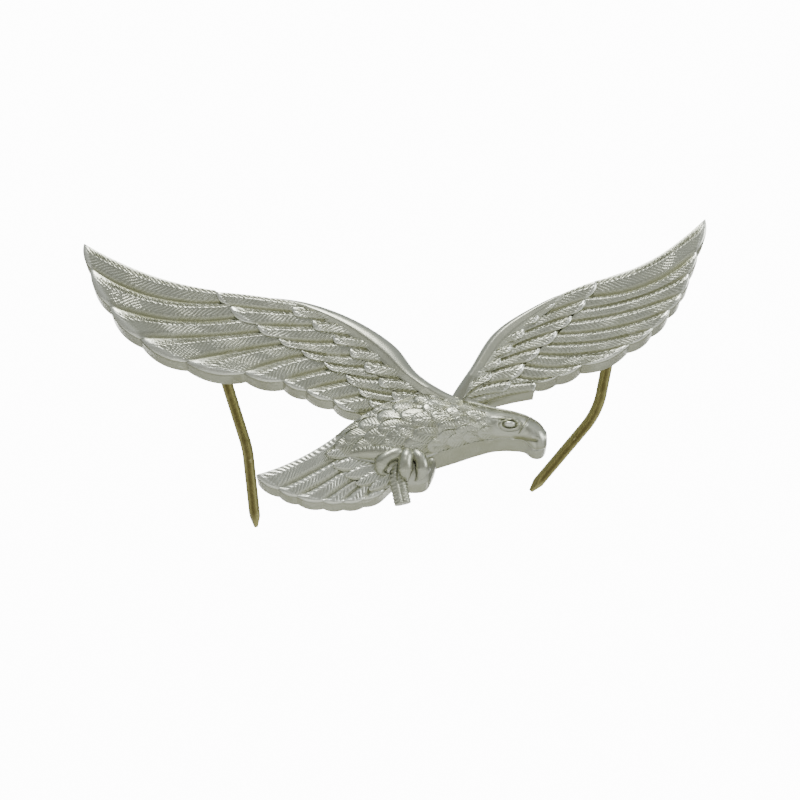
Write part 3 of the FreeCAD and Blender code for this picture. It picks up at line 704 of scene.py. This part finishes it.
def body_height(x, z, low, high, crest):
    """Depth and recess over the body: a parabola across it from its lower to its upper outline, standing
    on an upright edge, with painted shade in a band just inside its rim and a painted highlight along
    the rim, with small feathers on the body and the head's features on the head."""
    across = np.clip((2 * z - low - high) / (high - low), -1, 1)
    shoulder = np.minimum(EDGE_DEPTH + 0.2 + 0.5 * (1 - smooth_step(x, -2.0, 1.0)), crest - 0.4)
    flank = np.clip(np.abs(across) * 1.06, 0, 1)
    base = shoulder + (crest - shoulder) * (1 - flank**2)
    # Painted shade in a band just inside the rim, and a painted highlight along the rim's edge.
    rim = 0.5 * smooth_step(flank, 0.75, 0.95) - 0.9 * smooth_step(flank, 0.97, 1.0)
    scales, scale_recess = body_scales(x, z, base, rim)
    features, feature_recess = head_features(x, z)
    feathered = 1 - smooth_step(x + 0.25 * z, 4.7, 6.0)
    height = scales * feathered + (base + features) * (1 - feathered)
    recess = scale_recess * feathered + (rim + feature_recess) * (1 - feathered)
    return height, np.clip(recess, -1, 1)


def eased_stations(x, reach, values):
    """The values at the stations, joined by straight lines whose corners a weighted moving average
    rounds."""
    fine = np.linspace(reach[0], reach[-1], 400)
    kernel = np.hanning(25) / np.hanning(25).sum()
    straight = np.interp(fine, reach, values)
    eased = np.convolve(np.pad(straight, 12, mode="edge"), kernel, mode="valid")
    return np.interp(x, fine, eased)


def make_body():
    """One relief ruled between the lower and the upper outline of body, neck, head and beak. Rows crowd
    towards the beak and columns towards both outlines, and the front rim of the neck and jaw is raised by
    JAW_INSET."""
    reach, lower, upper, crests = np.array(BODY).T
    u, v = shares(270, 150)
    line = smooth_line(np.stack([reach, lower], axis=-1), 1 - (1 - u) ** 1.12)
    x, low = line[..., 0], line[..., 1]
    high = eased_stations(x, reach, upper)
    share = 0.45 * (0.5 - 0.5 * np.cos(np.pi * v)) + 0.55 * v
    z = low + (high - low) * share
    front, recess = body_height(x, z, low, high, eased_stations(x, reach, crests))
    back = np.minimum(hollow_depth(x, z) + BODY_TUCK, front - LEAST_WALL)
    inset = np.interp(x, *np.array(JAW_INSET).T)
    return relief(x, z, front, back, recess, rise=inset * (1 - v) ** 3)


def limb(points, stations, radii, rows, sides, bead=0.0):
    """A round limb along a smooth line through (x, depth, z) points, with its radii at shares of its
    length. bead is the height of a row of beads along its front, a little above the middle."""
    u = np.linspace(0, 1, rows)[:, None]
    angle = ring_angles(sides)[None, :]
    beads = angle_bump(angle, -1.15, 0.26) * wave(u * BEAD_COUNT)
    ring = np.interp(u, stations, radii) + bead * beads
    return tube(limb_line(points, rows), np.array([0.0, 1.0, 0.0]), ring, np.full(ring.shape, LIMB_SHADE))


def make_foot():
    """The smooth block behind the toes, ruled between its upper and lower outline. Its front falls away
    towards the lower outline as a cubic, and at both ends."""
    u, v = shares(50, 30)
    x, z = ruled(smooth_line(FOOT_UPPER, u), smooth_line(FOOT_LOWER, u), v)
    front = 3.1 - 0.9 * v**3 - 0.5 * smooth_step(0.2 - u, 0.0, 0.2) - 0.9 * smooth_step(u, 0.72, 1.0)
    return relief(x, z, front, np.full(u.shape, FOOT_TUCK), 0.3 * (1 - v))


def make_twig():
    """A short cut twig: a flattened oval with a groove along its front and its back, bark rings that
    slant round it, and a slightly narrower cut end."""
    rows, sides = 60, 40
    u = np.linspace(0, 1, rows)[:, None]
    angle = ring_angles(sides)[None, :]
    oval = TWIG_WIDTH / np.sqrt(np.cos(angle) ** 2 + (np.sin(angle) / TWIG_FLATNESS) ** 2)
    groove = 1 - TWIG_GROOVE * angle_bump(angle, np.pi / 2, 0.22)
    groove = groove * (1 - TWIG_GROOVE * angle_bump(angle, -np.pi / 2, 0.22))
    bark = 1 + 0.045 * np.cos(2 * np.pi * u * 11 + 2 * angle)
    ring = oval * groove * bark * np.where(u > 0.985, 0.9, 1.0)
    return tube(limb_line(TWIG, rows), np.array([0.0, 1.0, 0.0]), ring, np.full(ring.shape, TWIG_SHADE))


# ---------------------------------------------------------------- prongs


def prong_line(prong):
    """Centre line of one bent wire, and the row where its point starts: straight back from its pad, round
    the knee as a parabola, a straight, an arc, the last straight and the point. The leg is drawn flat and
    then leant down by LEG_LEAN."""
    root_x, root_z, angle, first, radius, bend, last = prong
    lean = math.radians(LEG_LEAN)
    a0, a1 = math.radians(angle), math.radians(angle + bend)
    side = 1.0 if bend > 0 else -1.0
    start = np.array([math.sin(a0), math.cos(a0)])
    centre = start * first + side * radius * np.array([math.cos(a0), -math.sin(a0)])
    turn = np.linspace(a0, a1, 40)
    bent = centre + side * radius * np.stack([-np.cos(turn), np.sin(turn)], axis=-1)
    final = np.array([math.sin(a1), math.cos(a1)])
    tail = bent[-1] + np.linspace(0.1, last, 60)[:, None] * final
    point = tail[-1] + np.linspace(0.02, POINT_LENGTH, 44)[:, None] * final
    knee_reach = KNEE_RADIUS * math.tan(math.acos(math.cos(a0) * math.cos(lean)) / 2)
    straight = np.linspace(knee_reach, first, 70)[:-1, None] * start
    plane = np.concatenate([straight, bent, tail, point])
    leg = np.stack([
        root_x + plane[:, 0],
        HINGE_Y + plane[:, 1] * math.cos(lean),
        root_z - plane[:, 1] * math.sin(lean),
    ], axis=-1)
    foot_end = np.array([root_x, HINGE_Y - knee_reach, root_z])
    corner = np.array([root_x, HINGE_Y, root_z])
    t = np.linspace(0, 1, KNEE_ROWS + 2)[1:-1, None]
    knee = (1 - t) ** 2 * foot_end + 2 * t * (1 - t) * corner + t * t * leg[0]
    foot = np.linspace([root_x, WIRE_ROOT_Y, root_z], foot_end, FOOT_ROWS)
    centre_line = np.concatenate([foot, knee, leg])
    return centre_line, len(centre_line) - len(point)


def make_wire(side_name, prong, material):
    """Drawn wire: a circle with faint lengthwise die lines, filed to a four-sided point. It is bent round
    its knee."""
    centre, point_row = prong_line(prong)
    rows, sides = len(centre), 48
    angle = ring_angles(sides)
    lines = 0.012 * np.cos(9 * angle + 0.6) + 0.008 * np.cos(17 * angle + 1.9)
    ring = np.repeat((WIRE_RADIUS + lines)[None, :], rows, axis=0)
    share = np.clip((np.arange(rows) - point_row + 1) / (rows - point_row), 0, 1)[:, None]
    four = 1 / np.maximum(np.abs(np.cos(angle - 0.5)), np.abs(np.sin(angle - 0.5)))
    spread = WIRE_RADIUS + (POINT_RADIUS - WIRE_RADIUS) * share
    filed = spread * four[None, :] * np.where(share > 0, 1.0, 1.5)
    ring = np.minimum(ring, filed)
    grime = np.clip(0.5 + 0.5 * np.cos(3 * angle + 0.4), 0, 1)[None, :] * (1 - share) * np.ones((rows, 1))
    solid = tube(centre, np.array([1.0, 0.0, 0.12]), ring, grime)
    wire = make_piece(side_name + "_brass_wire", [solid], material, 30.0)
    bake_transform(wire)
    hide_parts(side_name + "_prong", side_name + "_prong_foot")


def turned(x, z, profile, wobble, recess):
    """A disc-like piece on the Y axis through (x, z), from (y, radius) pairs. With a wobble its profile
    is smoothed and its outline waves in and out by that share."""
    line = smooth_line(profile, np.linspace(0, 1, 40)) if wobble else np.array(profile)
    centre = np.stack([np.full(len(line), x), line[:, 0], np.full(len(line), z)], axis=-1)
    angle = ring_angles(72)
    ring = line[:, 1:2] * (1 + wobble * (0.6 * np.cos(2 * angle + 0.7) + 0.4 * np.cos(5 * angle)))[None, :]
    return tube(centre, np.array([1.0, 0.0, 0.0]), ring, np.full(ring.shape, recess))


# ---------------------------------------------------------------- materials


def node(tree, kind, x, y, ins=None, **settings):
    """A node at (x, y). In ins, an output socket is linked to the input, and a value becomes the input's
    own."""
    made = tree.nodes.new(kind)
    made.location = (x, y)
    for key, value in settings.items():
        setattr(made, key, value)
    for key, value in (ins or {}).items():
        if isinstance(value, bpy.types.NodeSocket):
            tree.links.new(value, made.inputs[key])
        else:
            made.inputs[key].default_value = value
    return made


def aged_metal_group():
    """Handled metal: the clean colour goes to the grime-and-shade colour as the recess, clouded by a noise,
    goes from 0 to 1, and to the wear-and-highlight colour where the recess is negative (painted
    highlights) or the cloud is thickest (wear). Roughness follows the grime and painted shade, and Height
    is a fine grain."""
    group = bpy.data.node_groups.new("aged_metal", "ShaderNodeTree")
    face = group.interface
    for name in ("Clean Colour", "Grime And Shade Colour", "Wear And Highlight Colour"):
        face.new_socket(name, in_out="INPUT", socket_type="NodeSocketColor")
    for name in ("Recess", "Smooth Roughness", "Grime Roughness", "Cloud Scale"):
        face.new_socket(name, in_out="INPUT", socket_type="NodeSocketFloat")
    face.new_socket("Colour", in_out="OUTPUT", socket_type="NodeSocketColor")
    for name in ("Roughness", "Height"):
        face.new_socket(name, in_out="OUTPUT", socket_type="NodeSocketFloat")
    inputs = node(group, "NodeGroupInput", -1200, 0).outputs
    place = node(group, "ShaderNodeTexCoord", -1200, -400).outputs["Object"]
    cloud = node(group, "ShaderNodeTexNoise", -900, -300, {
        "Vector": place, "Scale": inputs["Cloud Scale"], "Detail": 5.0, "Roughness": 0.6})
    grain = node(group, "ShaderNodeTexNoise", -900, -600, {"Vector": place, "Scale": 9000.0, "Detail": 3.0})
    centred = node(
        group, "ShaderNodeMath", -650, -300, {0: cloud.outputs["Fac"], 1: 0.5}, operation="SUBTRACT")
    spread = node(group, "ShaderNodeMath", -450, -300, {0: centred.outputs[0], 1: 0.9}, operation="MULTIPLY")
    # Grime, and the painted shade of walls, backs, arms and rims, with the cloud over them.
    grime_and_shade = node(
        group, "ShaderNodeMath", -250, -150, {0: inputs["Recess"], 1: spread.outputs[0]},
        operation="ADD", use_clamp=True).outputs[0]
    base = node(
        group, "ShaderNodeMix", -50, 150,
        {"Factor": grime_and_shade, 6: inputs["Clean Colour"], 7: inputs["Grime And Shade Colour"]}, data_type="RGBA")
    rub = node(group, "ShaderNodeMapRange", -250, 350, {
        "Value": cloud.outputs["Fac"], "From Min": 0.62, "From Max": 0.72, "To Max": 0.6})
    # Where the recess is negative: painted highlights, and the lightened tail.
    brightening = node(group, "ShaderNodeMapRange", -450, 550, {"Value": inputs["Recess"], "From Max": -0.6})
    bright_share = node(
        group, "ShaderNodeMath", 0, 450, {0: rub.outputs["Result"], 1: brightening.outputs["Result"]},
        operation="MAXIMUM")
    colour = node(
        group, "ShaderNodeMix", 250, 200,
        {"Factor": bright_share.outputs[0], 6: base.outputs[2], 7: inputs["Wear And Highlight Colour"]}, data_type="RGBA")
    rough = node(
        group, "ShaderNodeMix", 250, -150,
        {"Factor": grime_and_shade, 2: inputs["Smooth Roughness"], 3: inputs["Grime Roughness"]}, data_type="FLOAT")
    node(group, "NodeGroupOutput", 700, 0, {
        "Colour": colour.outputs[2], "Roughness": rough.outputs[0], "Height": grain.outputs["Fac"]})
    return group


def aged_material(name, group, clean, grime, brightening, roughness, cloud_scale, bump_strength):
    """Metal with the aged_metal group: its clean colour, its colour for grime and painted shade, its colour
    for wear and painted highlights, and the roughness of the first two."""
    material = bpy.data.materials.new(name)
    material.use_nodes = True
    tree = material.node_tree
    recess = node(tree, "ShaderNodeAttribute", -800, 0, attribute_name="recess")
    wear = node(tree, "ShaderNodeGroup", -500, 0, {
        "Clean Colour": (*clean, 1), "Grime And Shade Colour": (*grime, 1), "Wear And Highlight Colour": (*brightening, 1),
        "Smooth Roughness": roughness[0], "Grime Roughness": roughness[1],
        "Cloud Scale": cloud_scale, "Recess": recess.outputs["Fac"]}, node_tree=group).outputs
    bumps = node(tree, "ShaderNodeBump", -250, -300, {
        "Strength": bump_strength, "Distance": GRAIN_DEPTH, "Height": wear["Height"]})
    shader = tree.nodes["Principled BSDF"]
    shader.inputs["Metallic"].default_value = 1.0
    tree.links.new(wear["Colour"], shader.inputs["Base Color"])
    tree.links.new(wear["Roughness"], shader.inputs["Roughness"])
    tree.links.new(bumps.outputs["Normal"], shader.inputs["Normal"])
    return material


wear_group = aged_metal_group()
silver = aged_material(
    "aged_silver_plate", wear_group, (0.50, 0.51, 0.42), (0.28, 0.285, 0.165), (0.76, 0.77, 0.67),
    (0.29, 0.46), 420.0, 0.30)
brass = aged_material(
    "oxidised_brass", wear_group, (0.42, 0.39, 0.16), (0.13, 0.11, 0.04), (0.58, 0.55, 0.29),
    (0.28, 0.46), 900.0, 0.2)
solder = aged_material(
    "dull_solder", wear_group, (0.42, 0.41, 0.38), (0.20, 0.19, 0.16), (0.55, 0.54, 0.50),
    (0.38, 0.55), 900.0, 0.5)

# ---------------------------------------------------------------- build


def wing(side, shape):
    """The named pieces of one wing, from the plate at the back to the arm in front."""
    edge = scalloped_edge(shape["flight"])
    lead_line = smooth_line(shape["lead"], np.linspace(0.03, 0.994, 60))
    trailing = np.concatenate([[shape["web_root"]], edge])
    yield side + "_wing_web", [web(lead_line, trailing, WEB_DEPTH, 420, shape["tuck"])]
    yield side + "_flight_feathers", fan(shape["flight"], FLIGHT_DEPTH, (0.12, 0.07, 0.0), (0.09, 0.11, 0.0))
    yield side + "_covert_feathers", fan(shape["covert"], COVERT_DEPTH, (0.11, 0.07, 0.2), (0.09, 0.11, 0.2))
    yield side + "_arm_tufts", fan(
        shape["tuft"], TUFT_DEPTH, (0.14, 0.12, 0.5), (0.15, 0.14, 0.5), TUFT_ROOT_RISE)
    yield side + "_wing_arm", [arm(shape)]


def tail():
    """The named pieces of the tail, and the short feathers over its root."""
    lead_line = smooth_line(TAIL_LEAD, np.linspace(0.0, 0.99, 40))
    trailing = np.concatenate([[TAIL_ROOT], scalloped_edge(TAIL)])
    yield "tail_web", [web(lead_line, trailing, WEB_DEPTH, 260, TAIL_TUCK)]
    yield "tail_feathers", lightened(fan(TAIL, TAIL_DEPTH, (0.06, 0.10, 0.0), (0.05, 0.09, 0.0)), TAIL_LIGHTENING)
    first_depth, step = TROUSER_DEPTH
    trousers = [
        feather(*leaf(*row), first_depth + step * index, 3.0 + index, (0.09, 0.11, 0.35))
        for index, row in enumerate(TROUSER)
    ]
    yield "trouser_feathers", lightened(trousers, TAIL_LIGHTENING)


def short_inner_feather():
    lead_line = smooth_line(STUB_UPPER, np.linspace(0, 1, 20))
    trailing = smooth_line(STUB_LOWER, np.linspace(0, 1, 20))
    plate = web(lead_line, trailing, WEB_DEPTH - 0.02, 60, STUB_TUCK)
    return [plate, feather(STUB_UPPER, STUB_LOWER, STUB_DEPTH, 9.0, (0.10, 0.10, 0.0))]


def thigh_and_toes():
    legs = [make_foot(), limb(THIGH, THIGH_STATIONS, THIGH_RADII, 150, 48, THIGH_BEAD)]
    return legs + [limb(points, TOE_STATIONS, TOE_THICKNESS * radius, 60, 32) for radius, points in TOES]


def eagle_pieces():
    """Every piece of the struck front, as (name, closed solids)."""
    for side, shape in WINGS.items():
        yield from wing(side, shape)
    yield from tail()
    yield "short_inner_feather", short_inner_feather()
    yield "body_head_beak", [make_body()]
    yield "thigh_and_toes", thigh_and_toes()
    yield "twig", [make_twig()]


for name, solids in eagle_pieces():
    piece = make_piece(name, solids, silver)
    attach(piece, "badge")
    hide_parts("eagle")

for side, prong in PRONGS.items():
    root_x, root_z = prong[:2]
    make_wire(side, prong, brass)
    pad = make_piece(side + "_brass_pad", [turned(root_x, root_z, PAD_PROFILE, 0.0, 0.5)], brass)
    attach(pad, "badge")
    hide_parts(side + "_prong_pad")
    joint = make_piece(side + "_solder_fillet", [turned(root_x, root_z, FILLET_PROFILE, 0.05, 0.2)], solder)
    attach(joint, "badge")
    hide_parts(side + "_solder")

# ---------------------------------------------------------------- studio


def soft_light(name, place, size, power, colour):
    """A round area light that faces LIGHT_AIM."""
    data = bpy.data.lights.new(name, "AREA")
    data.shape = "DISK"
    data.size = size
    data.energy = power
    data.color = colour
    light = bpy.data.objects.new(name, data)
    light.location = place
    light.rotation_euler = (Vector(LIGHT_AIM) - Vector(place)).to_track_quat("-Z", "Y").to_euler()
    bpy.context.scene.collection.objects.link(light)


def studio_world():
    """A dim room that grows paler overhead and goes from warm below to cool above, with a bright white
    screen on the far side of the badge. The screen is full where the direction's dot product with
    SCREEN_DIRECTION is over 0.95, and fades out at 0.90."""
    world = bpy.data.worlds.new("studio")
    world.use_nodes = True
    tree = world.node_tree
    direction = node(tree, "ShaderNodeTexCoord", -1100, 0).outputs["Generated"]
    facing = node(
        tree, "ShaderNodeVectorMath", -900, 100, {0: direction, 1: SCREEN_DIRECTION},
        operation="DOT_PRODUCT")
    screen = node(
        tree, "ShaderNodeMapRange", -650, 100,
        {"Value": facing.outputs["Value"], "From Min": 0.90, "From Max": 0.95, "To Max": SCREEN_STRENGTH},
        interpolation_type="SMOOTHSTEP").outputs["Result"]
    height = node(tree, "ShaderNodeSeparateXYZ", -900, -150, {0: direction}).outputs["Z"]
    room = node(tree, "ShaderNodeMapRange", -650, -150, {
        "Value": height, "From Min": -0.5, "From Max": 0.9,
        "To Min": ROOM_STRENGTH[0], "To Max": ROOM_STRENGTH[1]})
    total = node(tree, "ShaderNodeMath", -400, 0, {0: screen, 1: room.outputs["Result"]}, operation="ADD")
    warmth = node(
        tree, "ShaderNodeMapRange", -650, -400, {"Value": height, "From Min": -0.4, "From Max": 0.7})
    tint = node(
        tree, "ShaderNodeMix", -400, -250,
        {"Factor": warmth.outputs["Result"], 6: (1.0, 0.98, 0.88, 1), 7: (0.90, 0.96, 1.0, 1)},
        data_type="RGBA")
    white = node(
        tree, "ShaderNodeMath", -400, -450, {0: screen, 1: SCREEN_STRENGTH},
        operation="DIVIDE", use_clamp=True)
    plain = node(
        tree, "ShaderNodeMix", -150, -150,
        {"Factor": white.outputs[0], 6: tint.outputs[2], 7: (1, 1, 1, 1)}, data_type="RGBA")
    background = tree.nodes["Background"]
    tree.links.new(total.outputs[0], background.inputs["Strength"])
    tree.links.new(plain.outputs[2], background.inputs["Color"])
    return world


def pale_floor():
    bpy.ops.mesh.primitive_plane_add(size=FLOOR_SIZE, location=(0, 0, FLOOR_HEIGHT))
    floor = bpy.context.object
    floor.name = "floor"
    paint = bpy.data.materials.new("pale_floor")
    paint.use_nodes = True
    shader = paint.node_tree.nodes["Principled BSDF"]
    shader.inputs["Base Color"].default_value = (0.6, 0.6, 0.58, 1)
    shader.inputs["Roughness"].default_value = 0.8
    floor.data.materials.append(paint)


def front_camera():
    """A camera in front of the badge and below it, looking up at the middle."""
    data = bpy.data.cameras.new("camera")
    data.lens = CAMERA_LENS
    data.sensor_width = 36.0
    data.clip_start = 0.01
    camera = bpy.data.objects.new("camera", data)
    camera.location = CAMERA_PLACE
    camera.rotation_euler = (Vector(CAMERA_AIM) - camera.location).to_track_quat("-Z", "Y").to_euler()
    bpy.context.scene.collection.objects.link(camera)
    return camera


for light in LIGHTS:
    soft_light(*light)
bpy.context.scene.world = studio_world()
pale_floor()
bpy.context.scene.camera = front_camera()
